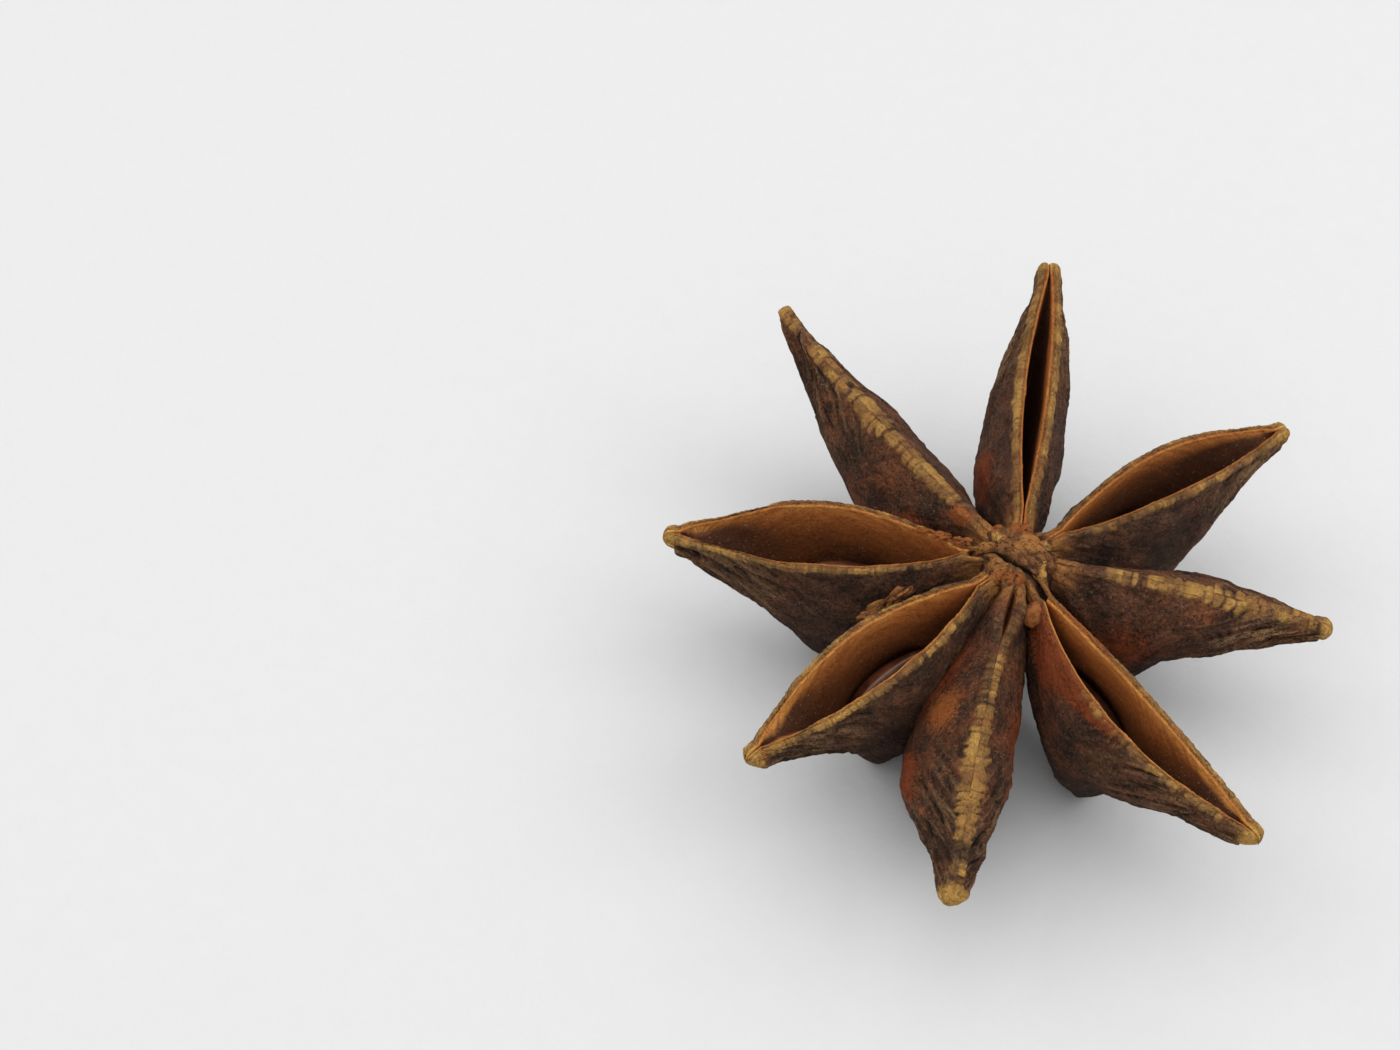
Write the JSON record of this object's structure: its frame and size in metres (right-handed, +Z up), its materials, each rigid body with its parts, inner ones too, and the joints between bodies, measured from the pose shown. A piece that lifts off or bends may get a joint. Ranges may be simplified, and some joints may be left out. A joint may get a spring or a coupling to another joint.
{
  "type": "star anise pod",
  "caption": "Dried star anise pod: boat-shaped follicles round a short column, some split open along the top with a glossy seed inside, others still shut.",
  "frame": {"origin": "under the middle of the pod's box, at the level that its keels rest on", "axes": "+Z up, towards the open side of the pod; -Y towards the follicle at the front; +X towards the short shut follicle at the right"},
  "size_m": [0.0294, 0.0338, 0.0091],
  "materials": {
    "pod": "dry, wrinkled and matt, with tan lips along the sutures and smooth orange-brown inner walls",
    "seed": "glossy, smooth and red-brown"
  },
  "bodies": {
    "root": {"pod": "pod", "seed_back_right": "seed", "seed_left": "seed", "seed_front_left": "seed", "seed_front_right": "seed"}
  },
  "joints": []
}
